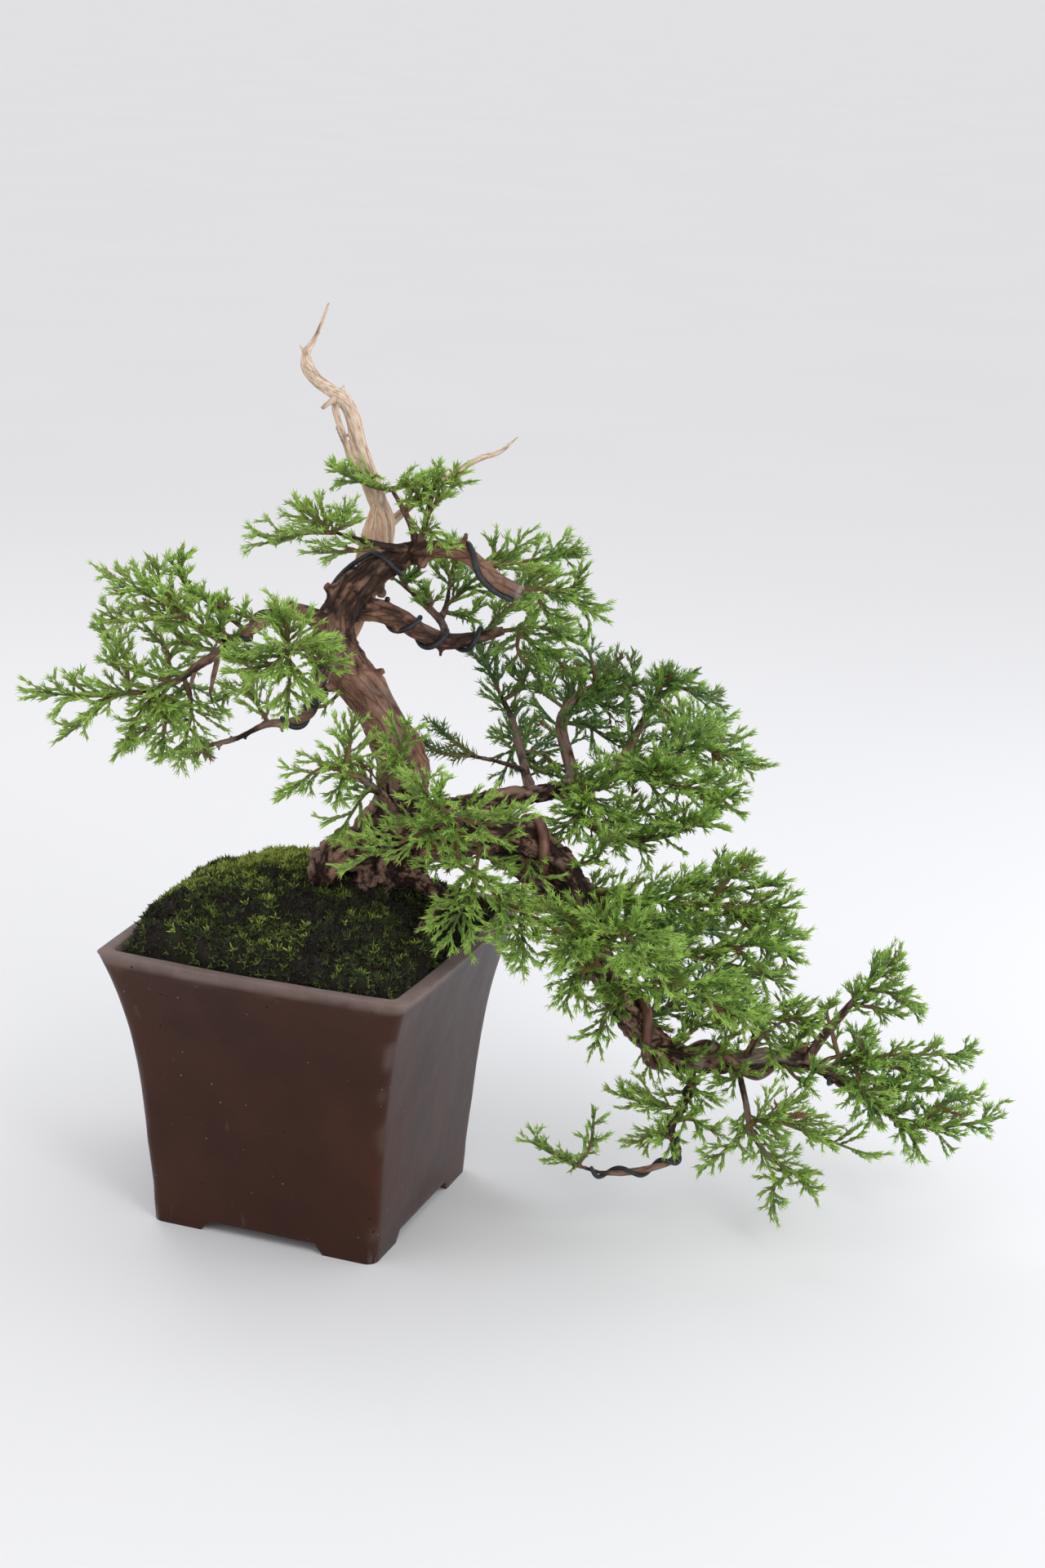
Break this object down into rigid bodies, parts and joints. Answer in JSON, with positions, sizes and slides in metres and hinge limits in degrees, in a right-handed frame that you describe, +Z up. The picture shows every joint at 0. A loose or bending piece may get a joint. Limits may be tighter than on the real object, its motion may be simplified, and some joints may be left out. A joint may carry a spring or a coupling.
{
  "type": "bonsai tree in pot",
  "caption": "Semi-cascade itoigawa juniper bonsai with wired branches and a bleached deadwood jin, growing from a mossy mound in a square flared unglazed clay pot.",
  "frame": {"origin": "middle of the bonsai's bounding box in plan, on the plane that the feet of the pot stand on", "axes": "+X across the tree's viewing front, towards the tip of the cascade; -Y towards the viewer; +Z up; the pot is turned 20 degrees clockwise about Z, seen from above"},
  "size_m": [0.5218, 0.2155, 0.4743],
  "materials": {
    "pot_clay": "unglazed chocolate-brown stoneware with a dull sheen, a paler worn rim, fine pits and pale specks",
    "soil": "damp brown granules of baked clay and pumice, matte",
    "moss": "short velvety moss, deep green with brown and yellow-green patches",
    "drain_mesh": "matte black plastic mesh",
    "bark": "living juniper bark, reddish brown, flaky and cleaned smooth in stretches, matte",
    "deadwood": "dry barkless wood, pale tan with grey grain lines, matte",
    "copper_wire": "thick soft training wire, dull brown copper colour",
    "black_wire": "soft training wire, dark grey to black, satin",
    "foliage": "fresh scale leaves, mid green with bright yellow-green tips, satin"
  },
  "bodies": {
    "root": {"pot": "pot_clay", "drain_screen": "drain_mesh", "soil": "soil", "moss": "moss", "trunk_and_branches": "bark", "deadwood_jin": "deadwood", "wire_thick_cascade": "copper_wire", "wire_black_crown": "black_wire", "wire_black_apex": "black_wire", "wire_black_middle": "black_wire", "wire_black_left": "black_wire", "wire_black_loop": "black_wire", "wire_black_outer": "black_wire", "wire_black_low": "black_wire", "foliage_left_high": "foliage", "foliage_left_far_high": "foliage", "foliage_left_tip": "foliage", "foliage_left_low": "foliage", "foliage_loop_tip": "foliage", "foliage_left_near": "foliage", "foliage_left_under": "foliage", "foliage_front_fan": "foliage", "foliage_front_mid": "foliage", "foliage_front_mass_up": "foliage", "foliage_front_mass_low": "foliage", "foliage_front_low": "foliage", "foliage_crown_left": "foliage", "foliage_crown_top": "foliage", "foliage_crown_right": "foliage", "foliage_upper_right": "foliage", "foliage_upper_low": "foliage", "foliage_middle_right": "foliage", "foliage_middle_up": "foliage", "foliage_middle_twig": "foliage", "foliage_rear_left": "foliage", "foliage_rear_low_left": "foliage", "foliage_rear_mid": "foliage", "foliage_rear_up": "foliage", "foliage_rear_right": "foliage", "foliage_juvenile": "foliage", "foliage_pad_far": "foliage", "foliage_pad_near": "foliage", "foliage_pad_front": "foliage", "foliage_pad_under": "foliage", "foliage_cascade_high": "foliage", "foliage_cascade_top": "foliage", "foliage_cascade_mid": "foliage", "foliage_cascade_near": "foliage", "foliage_cascade_near_left": "foliage", "foliage_cascade_near_low": "foliage", "foliage_cascade_back": "foliage", "foliage_cascade_back_low": "foliage", "foliage_outer_up": "foliage", "foliage_outer_long": "foliage", "foliage_outer_tip": "foliage", "foliage_low_end": "foliage", "foliage_low_left": "foliage", "foliage_low_right": "foliage", "foliage_low_bottom": "foliage"}
  },
  "joints": []
}
